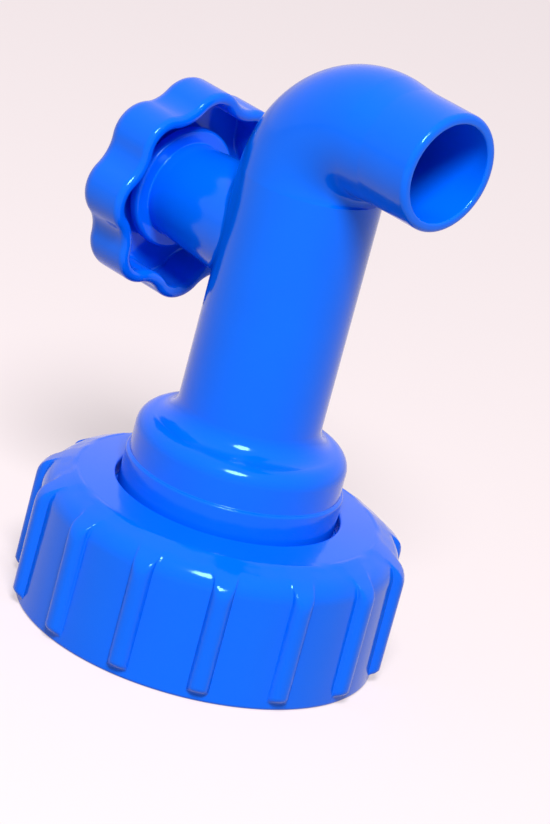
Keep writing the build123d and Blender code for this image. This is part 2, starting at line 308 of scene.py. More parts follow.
# The neck thread's ridge winds up the inside wall: its height over a point depends on how far the
# point lies above or below the nearest turn of the helix, and both its ends run out.
def ridgeHeight(form, height, angle):
    turns = (height - form["ridgeStart"]) / form["ridgePitch"] - angle / (2 * math.pi)
    turn = np.round(turns)
    away = np.abs(turns - turn) * form["ridgePitch"]
    along = turn + angle / (2 * math.pi)
    runOut = form["ridgeRunOut"]
    ends = smoothStep(along / runOut) * smoothStep((form["ridgeTurns"] - along) / runOut)
    section = smoothStep((form["ridgeHalfWidth"] - away) / form["ridgeFlank"])
    return form["ridgeHeight"] * ends * section


# Section of the cap's wall as (radius, height) points
def capOutline(form):
    skirt = form["threadRadius"] + form["skirtWall"]
    relief = form["threadRadius"] + form["relief"]
    crown = skirt - form["bevelWidth"]
    crownHeight = form["height"] - form["crownFall"]
    shoulderHeight = crownHeight - form["bevelDrop"]
    seat = form["height"] - form["topWall"]
    corners = [
        (form["threadRadius"], 0, form["lipRound"]),
        (skirt + form["draft"], 0, form["openRimRound"]),
        (skirt, shoulderHeight, form["shoulderRound"]),
        (crown, crownHeight, form["crownRound"]),
        (form["holeRadius"], form["height"], form["holeRound"]),
        (form["holeRadius"], seat, form["lipRound"]),
        (crown - form["seatInset"], seat, form["innerRound"]),
        (relief, shoulderHeight - form["innerShoulderDrop"], form["innerRound"]),
        (relief, form["threadLength"], form["stepRound"]),
        (form["threadRadius"], form["threadLength"], form["stepRound"]),
    ]
    return roundedLoop(corners, form["longestStep"], form["arcSteps"])


# Angles of the cap's columns, which lie close together on the flanks of a rib and further apart
# between two ribs
def capAngles(form):
    skirt = form["threadRadius"] + form["skirtWall"]
    pitch = 2 * math.pi / form["ribs"]
    crest = np.sin(np.radians(np.linspace(0, form["crestAngle"], form["crestColumns"])))
    ribSide = np.concatenate([crest, form["flankColumns"]]) * form["ribRadius"] / skirt
    between = np.linspace(ribSide[-1], pitch / 2, form["skirtColumns"])[1:]
    oneSide = np.concatenate([ribSide, between])
    bothSides = np.concatenate([-oneSide[:0:-1], oneSide[:-1]])
    ribAngles = math.radians(form["ribPhase"]) + pitch * np.arange(form["ribs"])
    angles = (bothSides[None, :] + ribAngles[:, None]).ravel() % (2 * math.pi)
    return np.sort(angles)[None, :]


# The wall's section turned round Z. Each point moves along the section's normal by the height of the
# ribs there, and inwards by the height of the thread's ridge.
def screwCap(form):
    outline, angles = capOutline(form), capAngles(form)
    tangent = np.roll(outline, -1, axis=0) - np.roll(outline, 1, axis=0)
    tangent /= np.linalg.norm(tangent, axis=1, keepdims=True)
    normal = np.stack([tangent[:, 1], -tangent[:, 0]], -1)
    radius, height = outline[:, :1], outline[:, 1:]
    rise = ribHeight(form, outline, normal, angles)
    onWall = np.abs(radius - form["threadRadius"]) < 0.01
    onThread = onWall & (height < form["threadLength"])
    ridge = ridgeHeight(form, height, angles) * onThread
    radial = radius + rise * normal[:, :1] - ridge
    upward = height + rise * normal[:, 1:]
    points = np.stack([radial * np.cos(angles), radial * np.sin(angles), upward], -1)
    quads = gridQuads(*points.shape[:2], closeRows=True)
    return meshPiece("screwCapShell", points.reshape(-1, 3), quads)


# Body: flange, collar, stem, elbow and spout
bodyLow, bodyHigh = nodeBox("tap_body")
bodyForm = {
    "spigotRadius": 22.6,
    "spigotWall": 2.4,
    "spigotFoot": bodyLow[2],
    "flangeRadius": bodyHigh[1],
    "flangeFoot": 20.2,
    "flangeTop": 23.1,
    "collarLowerRadius": 20.1,
    "collarLowerTop": 31.5,
    "collarUpperRadius": 19.5,
    "collarTop": 38.8,
    "collarRise": 1.0,
    "collarWall": 3.0,
    "stemRadius": 13.2,
    "stemWall": 3.0,
    "bendRadius": 13.65,
    "spoutRootRadius": 11.45,
    "spoutRadius": mounts["spout_outside"]["dims"]["r_mm"],
    "spoutBore": mounts["spout_bore"]["dims"]["r_mm"],
    "taper": 5.0,
    "housingHalf": 9.1,
    "portRadius": 4.2,
    "spigotRound": 0.6,
    "spigotNook": 0.15,
    "flangeFootRound": 0.4,
    "flangeTopRound": 1.8,
    "flangeNook": 0.3,
    "collarStepRound": 0.4,
    "collarNook": 0.2,
    "collarRound": 3.2,
    "collarFillet": 4.0,
    "runEase": 4.0,
    "mouthRound": 1.0,
    "housingTopRound": 0.5,
    "portRound": 0.3,
    "housingFootRound": 1.5,
    "collarInnerRound": 2.0,
    "spigotInnerRound": 1.0,
    "longestStep": 0.9,
    "around": 128,
    "holeColumns": 22,
    "holeHalfHeight": 13.3,
    "holeRows": 30,
}
bossForm = {
    "rootRadius": 11.0,
    "tipRadius": 8.9,
    "reach": -bodyLow[0],
    "rootRound": 2.0,
    "flangeRadius": 11.5,
    "flangeWidth": 2.4,
    "flangeRound": 0.8,
    "flangeNook": 0.3,
    "beside": 0.1,
    "landRows": 6,
    "landCrowding": 0.8,
    "footRows": 8,
    "coneRows": 13,
    "roundRows": 8,
    "flatShares": (0.98, 0.85, 0.6, 0.3),
    "boreRadius": 6.9,
    "boreEnd": 9.4,
    "grooveRadius": 7.7,
    "grooveStart": 18.1,
    "grooveEnd": 19.4,
    "notchDepth": 1.9,
    "notchStart": 200,  # degrees round the knob's axis, as the sweep and the knob's lug are
    "notchSweep": 112,
    "cutInto": 1,
    "cutPast": 2,
}


# Carries (way, radius) outlines along the body's path: straight up the stem, round the elbow on a
# quarter circle and straight out along the spout. Angle 0 lies on the outside of the elbow.
def alongBody(form, way, radius, angle):
    bendStart = spoutHeight - form["bendRadius"]
    turned = np.clip((way - bendStart) / form["bendRadius"], 0, math.pi / 2)
    straight = np.maximum(way - bendStart - form["bendRadius"] * math.pi / 2, 0)
    centreX = form["bendRadius"] * (1 - np.cos(turned)) + straight
    centreZ = np.minimum(way, bendStart) + form["bendRadius"] * np.sin(turned)
    outward = radius * np.cos(angle)
    x = centreX - outward * np.cos(turned)
    z = centreZ + outward * np.sin(turned)
    y = np.broadcast_to(radius * np.sin(angle), x.shape)
    return np.stack([x, y, z], -1)


# The boss's foot: an arc tangent to the stem's cylinder and to the boss's cone, at each angle round
# the knob's axis. It gives the distance and the radius of the arc's foot on the stem, of its control
# point and of its top on the cone, and the control point's weight.
def bossFoot(form, boss, fall, angle):
    stem, root = form["stemRadius"], boss["rootRadius"]
    sideShare = np.cos(angle)
    # The cone's side meets the stem at a distance that repeated substitution settles
    meet = np.full_like(angle, stem)
    for _ in range(30):
        meet = np.sqrt(stem**2 - ((root - fall * meet) * sideShare) ** 2)
    meetRadius = root - fall * meet
    slope = -meetRadius * sideShare**2 / meet
    corner = np.arccos(np.clip(slope / np.sqrt(1 + slope**2), -1, 1))
    reach = boss["rootRound"] * np.tan((math.pi - corner) / 2)
    footRadius = meetRadius + reach / np.sqrt(1 + slope**2)
    footDistance = np.sqrt(stem**2 - (footRadius * sideShare) ** 2)
    footSlope = -footRadius * sideShare**2 / footDistance
    # The control point is on the cone's side, close to where the stem's tangent at the foot meets it
    controlDistance = footDistance + footSlope * (root - fall * meet - footRadius)
    controlRadius = root - fall * controlDistance
    tangentLength = np.hypot(controlRadius - footRadius, controlDistance - footDistance)
    topDistance = controlDistance + tangentLength
    topRadius = root - fall * topDistance
    distances = np.stack([footDistance, controlDistance, topDistance])
    radii = np.stack([footRadius, controlRadius, topRadius])
    return distances, radii, np.sin(corner / 2)


# The boss is a cone about the knob's axis with a flange at its tip. Rings run from the hole's edge in
# the stem's grid over the stem to the boss's foot, up the foot's arc and the cone, over the flange
# and in across its end. The arc is a weighted blend of its foot, control point and top.
def bossRings(form, boss, edge):
    flange = boss["reach"] - boss["flangeWidth"]
    fall = (boss["rootRadius"] - boss["tipRadius"]) / flange
    angle = np.arctan2(edge[:, 2] - knobHeight, -edge[:, 1])
    edgeRadius = np.hypot(edge[:, 2] - knobHeight, edge[:, 1])
    distances, radii, weight = bossFoot(form, boss, fall, angle)
    landShare = shares(boss["landRows"]) ** boss["landCrowding"]
    landRadius = edgeRadius + (radii[0] - edgeRadius) * landShare
    landDistance = np.sqrt(form["stemRadius"] ** 2 - (landRadius * np.cos(angle)) ** 2)
    land = knobPoints(landDistance, landRadius, angle)
    share = shares(boss["footRows"])
    blend = np.broadcast_arrays((1 - share) ** 2, 2 * share * (1 - share) * weight, share**2)
    blend = np.stack(blend) / sum(blend)
    arcDistance = (blend * distances[:, None]).sum(axis=0)
    arcRadius = (blend * radii[:, None]).sum(axis=0)
    arc = knobPoints(arcDistance, arcRadius, angle)
    nook, beside = boss["flangeNook"], boss["beside"]
    coneLength = flange - nook - beside - distances[2]
    coneDistance = distances[2] + coneLength * shares(boss["coneRows"])
    cone = knobPoints(coneDistance, boss["rootRadius"] - fall * coneDistance, angle)
    turn = np.radians(np.linspace(0, 90, boss["roundRows"]))[:, None]
    sine, rest = np.sin(turn), 1 - np.cos(turn)
    innerCorner = knobPoints(flange - nook + nook * sine, boss["tipRadius"] + nook * rest, angle)
    rounded, widest = boss["flangeRound"], boss["flangeRadius"]
    backRadius = np.linspace(boss["tipRadius"] + nook + beside, widest - rounded - beside, 3)
    back = knobPoints(flange, backRadius[:, None], angle)
    inwards = knobPoints(flange + rounded * rest, widest - rounded * (1 - sine), angle)
    outwards = knobPoints(boss["reach"] - rounded * (1 - sine), widest - rounded * rest, angle)
    flatRadius = (widest - rounded) * np.array(boss["flatShares"])
    flat = knobPoints(boss["reach"], flatRadius[:, None], angle)
    return np.concatenate([land, arc, cone, innerCorner, back, inwards, outwards, flat])


# Round cutter for the plug's bore, with the retaining ring's groove
def boreCutter(boss):
    bore, groove = boss["boreRadius"], boss["grooveRadius"]
    start, end, past = boss["grooveStart"], boss["grooveEnd"], boss["reach"] + boss["cutPast"]
    distance = np.array([-boss["boreEnd"], start, start, end, end, past])
    radius = np.array([bore, bore, groove, groove, bore, bore])
    return turnedTool("boreCutter", distance, radius)


# Closed turned tool: rings round the knob's axis with a flat end at each side
def turnedTool(name, distance, radius, steps=96):
    angle = np.linspace(0, 2 * math.pi, steps, endpoint=False)[None, :]
    rings = knobPoints(distance[:, None], radius[:, None], angle)
    quads = gridQuads(len(distance), steps).reshape(-1, 4)
    ends = knobPoints(distance[[0, -1]], 0, 0)
    points = np.concatenate([rings.reshape(-1, 3), ends])
    ring = np.arange(steps)
    after = np.roll(ring, -1)
    middle, last = len(points) - 2, (len(distance) - 1) * steps
    nearEnd = np.stack([after, ring, np.full_like(ring, middle)], -1)
    farEnd = np.stack([last + ring, last + after, np.full_like(ring, middle + 1)], -1)
    return facesPiece(name, points, [quads, nearEnd, farEnd])


# Mesh object from points and several arrays of faces, with any number of corners
def facesPiece(name, points, groups):
    faces = [face for group in groups for face in group.reshape(-1, group.shape[-1]).tolist()]
    mesh = bpy.data.meshes.new(name)
    mesh.from_pydata((points * mm).tolist(), [], faces)
    mesh.validate()
    mesh.shade_smooth()
    faceOutwards(mesh)
    return placed(name, mesh)


# Turns the faces of a closed mesh outwards
def faceOutwards(mesh):
    work = bmesh.new()
    work.from_mesh(mesh)
    bmesh.ops.recalc_face_normals(work, faces=work.faces)
    work.to_mesh(mesh)
    work.free()


# Prism of a flat ring's sector, between two distances out along the knob's axis
def sectorTool(name, near, far, inner, outer, start, sweep, steps=24):
    angle = np.radians(np.linspace(start, start + sweep, steps))[None, :]
    distance = np.array([near, near, far, far])[:, None]
    radius = np.array([inner, outer, outer, inner])[:, None]
    points = knobPoints(distance, radius, angle)
    quads = gridQuads(4, steps, closeRows=True, closeColumns=False)
    first = np.arange(4)[None, :] * steps
    return facesPiece(name, points.reshape(-1, 3), [quads, first, first + steps - 1])


# Section of the body's wall, outside and inside, as (way along the body's path, radius) points
def bodyOutline(form):
    bendStart = spoutHeight - form["bendRadius"]
    bendEnd = bendStart + form["bendRadius"] * math.pi / 2
    mouth = bendEnd + spoutReach - form["bendRadius"]
    spigotBore = form["spigotRadius"] - form["spigotWall"]
    collarBore = form["collarLowerRadius"] - form["collarWall"]
    stemBore = form["stemRadius"] - form["stemWall"]
    innerTop = form["collarTop"] - form["collarWall"]
    housingTop, housingFoot = knobHeight + form["housingHalf"], knobHeight - form["housingHalf"]
    ease = form["runEase"]
    corners = [
        (form["spigotFoot"], form["spigotRadius"], form["spigotRound"]),
        (form["flangeFoot"], form["spigotRadius"], form["spigotNook"]),
        (form["flangeFoot"], form["flangeRadius"], form["flangeFootRound"]),
        (form["flangeTop"], form["flangeRadius"], form["flangeTopRound"]),
        (form["flangeTop"], form["collarLowerRadius"], form["flangeNook"]),
        (form["collarLowerTop"], form["collarLowerRadius"], form["collarStepRound"]),
        (form["collarLowerTop"], form["collarUpperRadius"], form["collarNook"]),
        (form["collarTop"], form["collarUpperRadius"], form["collarRound"]),
        (form["collarTop"] + form["collarRise"], form["stemRadius"], form["collarFillet"]),
        (bendStart, form["stemRadius"], ease),
        (bendEnd, form["spoutRootRadius"], ease),
        (bendEnd + form["taper"], form["spoutRadius"], ease),
        (mouth, form["spoutRadius"], form["mouthRound"]),
        (mouth, form["spoutBore"], form["mouthRound"] / 2),
        (bendEnd, form["spoutBore"], ease),
        (bendStart, stemBore, ease),
        (housingTop, stemBore, form["housingTopRound"]),
        (housingTop, form["portRadius"], form["portRound"]),
        (housingFoot, form["portRadius"], form["portRound"]),
        (housingFoot, stemBore, form["housingFootRound"]),
        (form["collarTop"] - form["collarWall"] / 2, stemBore, form["collarInnerRound"]),
        (innerTop, collarBore, form["collarInnerRound"]),
        (form["flangeTop"], collarBore, form["spigotInnerRound"]),
        (form["flangeFoot"], spigotBore, form["spigotInnerRound"]),
        (form["spigotFoot"], spigotBore, form["spigotRound"]),
    ]
    return roundedLoop(corners, form["longestStep"])


# The wall's section carried along the body's path. The boss joins a hole in its grid of quads, and
# the plug's bore and the stop's notch are cut out.
def tapBody(form, boss):
    outline = bodyOutline(form)
    # Rows of the stem that the boss's hole spans are spaced evenly between its two edges
    low, high = knobHeight - form["holeHalfHeight"], knobHeight + form["holeHalfHeight"]
    onStem = np.abs(outline[:, 1] - form["stemRadius"]) < 0.001
    inHole = onStem & (outline[:, 0] > low) & (outline[:, 0] < high)
    start = np.flatnonzero(inHole)[0]
    stretch = np.full((form["holeRows"] + 1, 2), form["stemRadius"])
    stretch[:, 0] = np.linspace(low, high, form["holeRows"] + 1)
    outline = np.concatenate([outline[:start], stretch, outline[start:][~inHole[start:]]])
    angles = np.linspace(0, 2 * math.pi, form["around"], endpoint=False)[None, :]
    points = alongBody(form, outline[:, :1], outline[:, 1:], angles)
    rows, columns = points.shape[:2]
    quads = gridQuads(rows, columns, closeRows=True)
    numbers = np.arange(rows * columns).reshape(rows, columns)
    # The hole in the grid is centred on angle 0, the knob's side, and its edge is read once round
    half, bottom, top = form["holeColumns"], start, start + form["holeRows"]
    across = np.arange(-half, half + 1) % columns
    keep = np.ones(quads.shape[:2], bool)
    keep[bottom:top, across[:-1]] = False
    rim = np.concatenate([
        numbers[bottom, across[:-1]],
        numbers[bottom:top, across[-1]],
        numbers[top, across[:0:-1]],
        numbers[top:bottom:-1, across[0]],
    ])
    grid = points.reshape(-1, 3)
    rings = bossRings(form, boss, grid[rim]).reshape(-1, 3)
    numbered = np.concatenate([rim, len(grid) + np.arange(len(rings))]).reshape(-1, len(rim))
    closed = np.concatenate([numbered, numbered[:, :1]], axis=1)
    bossQuads = np.stack([closed[:-1, :-1], closed[:-1, 1:], closed[1:, 1:], closed[1:, :-1]], -1)
    tip = knobPoints(boss["reach"], 0, 0)[None, :]
    everyPoint = np.concatenate([grid, rings, tip])
    last = closed[-1]
    fan = np.stack([last[:-1], last[1:], np.full_like(last[1:], len(everyPoint) - 1)], -1)
    body = facesPiece("tapBodyShell", everyPoint, [quads[keep], bossQuads, fan])
    carve(body, boreCutter(boss), "DIFFERENCE")
    notchFoot, notchPast = boss["reach"] - boss["notchDepth"], boss["reach"] + boss["cutPast"]
    inner, outer = boss["boreRadius"] - boss["cutInto"], boss["tipRadius"]
    notch = sectorTool("notchCutter", notchFoot, notchPast, inner, outer,
                       boss["notchStart"], boss["notchSweep"])
    carve(body, notch, "DIFFERENCE")
    return body


# Knob
knobLow, knobHigh = nodeBox("knob")
knobForm = {
    "radius": 20.0,
    "lobes": 8,
    "lobeDepth": 2.1,
    "lobeRadius": 6.5,
    "lobePhase": 43,  # degrees to the first lobe
    "front": -knobLow[0],
    "depth": 10.9,
    "wall": 2.3,
    "floor": 2.8,
    "edgeRound": 3.0,
    "rimRound": 1.1,
    "floorRound": 0.5,
    "hubFillet": 0.4,
    "hubBeside": 0.1,
    "hubRound": 0.35,
    "recessRound": 0.35,
    "socketEdge": 0.2,
    "webNook": 0.1,
    "fine": 0.15,
    "hubRadius": 6.65,
    "hubStart": -knobHigh[0],
    "socket": 7.0,
    "socketRound": 0.8,
    "recessRadius": 3.8,
    "recessDepth": 2.2,
    "webThickness": 2.0,
    "screwHole": 2.1,
    "lugInner": 7.1,
    "lugOuter": 8.7,
    "lugStart": 201,
    "lugSweep": 20,
    "lugReach": 29.8,
    "lugSink": 0.5,
    "columnsPerLobe": 36,
}


# Radius of the lobed outline at an angle, drawn an inset inside the knob's outside. On a lobe it is
# the far side of a circle round the lobe's centre, and in a hollow the near side of a circle that
# stands outside the knob and touches the lobes' circles.
def lobedRadius(form, angle, inset):
    half = math.pi / form["lobes"]
    fromLobe = np.abs((angle - math.radians(form["lobePhase"]) + half) % (2 * half) - half)
    centre = form["radius"] - form["lobeRadius"]
    valley = form["radius"] - form["lobeDepth"]
    along = centre * math.cos(half)
    hollow = centre**2 + valley**2 - 2 * valley * along - form["lobeRadius"] ** 2
    hollow /= 2 * (form["lobeRadius"] - valley + along)
    outer = valley + hollow
    lobe, hollow = form["lobeRadius"] - inset, hollow + inset
    share = lobe / (lobe + hollow)
    touchX = centre + (outer * math.cos(half) - centre) * share
    touchY = outer * math.sin(half) * share
    touch = np.arctan2(touchY, touchX)
    away = half - fromLobe
    far = centre * np.cos(fromLobe) + halfChord(lobe, centre * np.sin(fromLobe))
    near = outer * np.cos(away) - halfChord(hollow, outer * np.sin(away))
    return np.where(fromLobe < touch, far, near)


# Half the chord of a circle at an offset from its middle, or 0 where the offset passes the circle
def halfChord(radius, offset):
    return np.sqrt(np.maximum(radius**2 - offset**2, 0))


# Radius of a square with rounded corners at an angle: to the flat of a side, or to the far side of
# the circle in a corner
def squareRadius(width, corner, angle):
    quarter = math.pi / 2
    fromSide = np.abs((angle + quarter / 2) % quarter - quarter / 2)
    flat = width / 2 / np.cos(fromSide)
    inner = width / 2 - corner
    toCorner = math.hypot(inner, inner)
    away = quarter / 2 - fromSide
    arc = toCorner * np.cos(away) + halfChord(corner, toCorner * np.sin(away))
    return np.where(fromSide < math.atan2(inner, width / 2), flat, arc)


# Rings of points round the knob's axis: each has one distance along it, and a radius that is one
# value or follows the lobes or the square socket. They run out of the screw's hole, over the front
# and the lobed side, round the rim, down the inside wall, over the floor and the hub, and back
# through the socket, with a quarter circle at each edge.
def lobedKnob(form):
    columns = form["lobes"] * form["columnsPerLobe"]
    angle = np.linspace(0, 2 * math.pi, columns, endpoint=False)
    front, hub, hubStart = form["front"], form["hubRadius"], form["hubStart"]
    hole, recess, wall = form["screwHole"], form["recessRadius"], form["wall"]
    back = front - form["depth"]
    floor = front - form["floor"]
    webOut = front - form["recessDepth"]
    webIn = webOut - form["webThickness"]
    rings = []

    def add(distance, radius):
        rings.append(knobPoints(distance, radius, angle))

    # Several rings of one radius
    def addRun(distances, radius):
        for distance in distances:
            add(distance, radius)

    # Rings at one distance, at shares of the way from one radius to another
    def addFace(distance, start, end, shareList):
        for share in shareList:
            add(distance, start + (end - start) * share)

    # Rings that a rule places from the cosine and the sine of a turning angle
    def addArc(start, end, steps, place):
        for turn in np.radians(np.linspace(start, end, steps)):
            add(*place(math.cos(turn), math.sin(turn)))

    # Through the screw's hole and out over its recess to the front face
    fine = form["fine"]
    addRun((webIn + fine, (webIn + webOut) / 2, webOut - fine), hole)
    addArc(0, 90, 4, lambda c, s: (webOut - fine + fine * s, hole + fine * (1 - c)))
    add(webOut, hole + 2 * fine)
    add(webOut, recess - 2 * fine)
    addArc(0, 90, 4, lambda c, s: (webOut + fine * (1 - c), recess - fine * (1 - s)))
    mouth = form["recessRound"]
    addRun((webOut + 2 * fine, front - mouth - fine), recess)
    addArc(0, 90, 6, lambda c, s: (front - mouth * (1 - s), recess + mouth * (1 - c)))
    # Front face, its rounded edge and the lobed side
    edge = form["edgeRound"]
    faceEdge = lobedRadius(form, angle, edge)
    addFace(front, recess + mouth, faceEdge, (0.02, 0.25, 0.5, 0.75, 0.97))
    addArc(90, 0, 13, lambda c, s: (
        front - edge * (1 - s), lobedRadius(form, angle, edge * (1 - c))))
    rim = form["rimRound"]
    side = lobedRadius(form, angle, 0)
    addRun(np.linspace(front - edge - fine, back + rim + fine, 5), side)
    # Rim, inside wall and floor
    addArc(0, 90, 8, lambda c, s: (
        back + rim * (1 - s), lobedRadius(form, angle, rim * (1 - c))))
    addArc(90, 0, 8, lambda c, s: (
        back + rim * (1 - s), lobedRadius(form, angle, wall - rim * (1 - c))))
    nook = form["floorRound"]
    inside = lobedRadius(form, angle, wall)
    addRun(np.linspace(back + rim + fine, floor - nook - fine, 5), inside)
    addArc(0, 90, 6, lambda c, s: (
        floor - nook * (1 - s), lobedRadius(form, angle, wall + nook * (1 - c))))
    # Floor, hub and the hub's end
    fillet = form["hubFillet"]
    floorEdge = lobedRadius(form, angle, wall + nook)
    addFace(floor, floorEdge, hub + fillet, (0.03, 0.3, 0.6, 0.96))
    addArc(90, 0, 6, lambda c, s: (floor - fillet * (1 - s), hub + fillet * (1 - c)))
    tip = form["hubRound"]
    hubRoot = floor - fillet - form["hubBeside"]
    addRun(np.linspace(hubRoot, hubStart + tip + fine, 6), hub)
    addArc(0, 90, 5, lambda c, s: (hubStart + tip * (1 - s), hub - tip * (1 - c)))
    # Square socket and the web at its end
    crisp, webNook = form["socketEdge"], form["webNook"]
    socket = squareRadius(form["socket"], form["socketRound"], angle)
    addFace(hubStart, hub - tip, socket + crisp, (0.05, 0.5, 0.92))
    addArc(90, 0, 4, lambda c, s: (hubStart + crisp * (1 - s), socket + crisp * (1 - c)))
    addRun(np.linspace(hubStart + crisp + fine, webIn - fine, 4), socket)
    addArc(0, 90, 3, lambda c, s: (webIn - webNook * (1 - s), socket - webNook * (1 - c)))
    addFace(webIn, socket - webNook, hole + fine, (0.05, 0.5, 0.9))
    addArc(90, 0, 3, lambda c, s: (webIn + fine * (1 - s), hole + fine * (1 - c)))
    points = np.stack(rings).reshape(-1, 3)
    knob = meshPiece("knobShell", points, gridQuads(len(rings), columns, closeRows=True))
    lug = sectorTool("lugTool", form["lugReach"], floor + form["lugSink"], form["lugInner"],
                     form["lugOuter"], form["lugStart"], form["lugSweep"])
    carve(knob, lug, "UNION")
    return knob


# Materials

# One shader socket. Sums, differences and products of these and of numbers add Math nodes, and
# node() adds any other node to the same tree.
class Wire:
    def __init__(self, tree, socket=None):
        self.tree = tree
        self.socket = socket

    # A node of a kind: its settings first, then the values or wires of its inputs
    def node(self, kind, settings=None, inputs=None, output=0):
        made = self.tree.nodes.new(kind)
        for name, value in (settings or {}).items():
            setattr(made, name, value)
        for name, value in (inputs or {}).items():
            if isinstance(value, Wire):
                self.tree.links.new(value.socket, made.inputs[name])
            else:
                made.inputs[name].default_value = value
        return Wire(self.tree, made.outputs[output] if made.outputs else None)

    def math(self, operation, first, second):
        return self.node("ShaderNodeMath", {"operation": operation}, {0: first, 1: second})

    def __add__(self, other):
        return self.math("ADD", self, other)

    def __sub__(self, other):
        return self.math("SUBTRACT", self, other)

    def __rsub__(self, other):
        return self.math("SUBTRACT", other, self)

    def __mul__(self, other):
        return self.math("MULTIPLY", self, other)

    __radd__ = __add__
    __rmul__ = __mul__


# New material with an empty tree, and a wire with the object's own coordinates in metres
def startMaterial(name):
    material = bpy.data.materials.new(name)
    material.use_nodes = True
    material.node_tree.nodes.clear()
    tree = Wire(material.node_tree)
    return material, tree.node("ShaderNodeTexCoord", output="Object")


# Ends a material's tree with its shader
def finishMaterial(material, place, shader):
    place.node("ShaderNodeOutputMaterial", inputs={"Surface": shader})
    return material


# Soft noise from 0 to 1 whose patches are about a size in metres across
def patches(place, size, detail=2.0, roughness=0.5):
    values = {"Vector": place, "Scale": 1 / size, "Detail": detail, "Roughness": roughness}
    return place.node("ShaderNodeTexNoise", inputs=values)


# The first of two colours where the factor is 0 and the second where it is 1. Sockets 6 and 7 of a
# Mix node take its colours, and its output 2 gives the mixed one.
def mixColour(factor, first, second):
    settings = {"data_type": "RGBA", "clamp_factor": True}
    return factor.node("ShaderNodeMix", settings, {0: factor, 6: first, 7: second}, output=2)


def bump(height, strength, distance):
    values = {"Height": height, "Strength": strength, "Distance": distance}
    return height.node("ShaderNodeBump", inputs=values)


# Glossy shader of the moulded blue pieces. Patch sizes and bump depths are in metres.
plasticFinish = {
    "colour": (0.0002, 0.140, 0.92, 1),
    "deeper": (0.0002, 0.124, 0.87, 1),
    "refraction": 1.49,
    "specular": 0.33,
    "highlight": (0.4, 0.95, 1, 1),
    "roughness": 0.09,
    "roughnessSpread": 0.05,
    "cloud": 0.011,
    "cloudShare": 0.7,
    "scuffs": 0.0028,
    "scuffShare": 0.5,
    "waves": 0.006,
    "grain": 0.00035,
    "grainShare": 0.06,
    "bumpStrength": 0.25,
    "bumpDepth": 0.0001,
}


# Glossy moulded plastic: slow waves from the mould, a fine grain and a slightly uneven gloss
def bluePlastic(finish):
    material, place = startMaterial("bluePlastic")
    cloud = patches(place, finish["cloud"], detail=3)
    grain = patches(place, finish["grain"])
    waves = patches(place, finish["waves"], detail=1)
    scuffs = patches(place, finish["scuffs"], detail=4, roughness=0.6)
    unevenness = finish["cloudShare"] * cloud + finish["scuffShare"] * scuffs
    height = waves + grain * finish["grainShare"]
    shader = place.node("ShaderNodeBsdfPrincipled", inputs={
        "Base Color": mixColour(cloud, finish["deeper"], finish["colour"]),
        "Roughness": finish["roughness"] + finish["roughnessSpread"] * unevenness,
        "IOR": finish["refraction"],
        "Specular IOR Level": finish["specular"],
        "Specular Tint": finish["highlight"],
        "Normal": bump(height, finish["bumpStrength"], finish["bumpDepth"]),
    })
    return finishMaterial(material, place, shader)


acetalFinish = {
    "colour": (0.88, 0.87, 0.84, 1),
    "deeper": (0.80, 0.79, 0.75, 1),
    "roughness": 0.34,
    "roughnessSpread": 0.12,
    "cloud": 0.004,
    "tooling": 0.0002,
    "bumpStrength": 0.15,
    "bumpDepth": 0.00005,
}


# Satin white plastic with faint tool marks
def acetalPlastic(finish):
    material, place = startMaterial("plugPlastic")
    cloud = patches(place, finish["cloud"], detail=3)
    tooling = patches(place, finish["tooling"])
    shader = place.node("ShaderNodeBsdfPrincipled", inputs={
        "Base Color": mixColour(cloud, finish["deeper"], finish["colour"]),
        "Roughness": finish["roughness"] + finish["roughnessSpread"] * cloud,
        "Normal": bump(tooling, finish["bumpStrength"], finish["bumpDepth"]),
    })
    return finishMaterial(material, place, shader)


gasketFinish = {
    "colour": (0.78, 0.77, 0.73, 1),
    "deeper": (0.66, 0.65, 0.60, 1),
    "roughness": 0.62,
    "roughnessSpread": 0.2,
    "cloud": 0.005,
    "pores": 0.00045,
    "bumpStrength": 0.35,
    "bumpDepth": 0.00012,
}


# Pale matt rubber sheet with fine pores
def gasketRubber(finish):
    material, place = startMaterial("gasketRubber")
    cloud = patches(place, finish["cloud"], detail=4)
    pores = patches(place, finish["pores"], detail=3)
    shader = place.node("ShaderNodeBsdfPrincipled", inputs={
        "Base Color": mixColour(cloud, finish["deeper"], finish["colour"]),
        "Roughness": finish["roughness"] + finish["roughnessSpread"] * pores,
        "Normal": bump(pores, finish["bumpStrength"], finish["bumpDepth"]),
    })
    return finishMaterial(material, place, shader)


sealFinish = {
    "colour": (0.03, 0.03, 0.03, 1),
    "deeper": (0.018, 0.018, 0.019, 1),
    "roughness": 0.42,
    "roughnessSpread": 0.15,
    "grain": 0.0003,
    "bumpStrength": 0.2,
    "bumpDepth": 0.00006,
}


# Black rubber of the O-rings, one grain for its colour, gloss and surface
def sealRubber(finish):
    material, place = startMaterial("sealRubber")
    grain = patches(place, finish["grain"], detail=3)
    shader = place.node("ShaderNodeBsdfPrincipled", inputs={
        "Base Color": mixColour(grain, finish["deeper"], finish["colour"]),
        "Roughness": finish["roughness"] + finish["roughnessSpread"] * grain,
        "Normal": bump(grain, finish["bumpStrength"], finish["bumpDepth"]),
    })
    return finishMaterial(material, place, shader)


steelFinish = {
    "colour": (0.64, 0.64, 0.65, 1),
    "deeper": (0.52, 0.52, 0.53, 1),
    "roughness": 0.2,
    "roughnessSpread": 0.14,
    "cloud": 0.0015,
    "marksPerMetre": 900,
    "markWander": 1.2,
    "bumpStrength": 0.12,
    "bumpDepth": 0.00003,
}


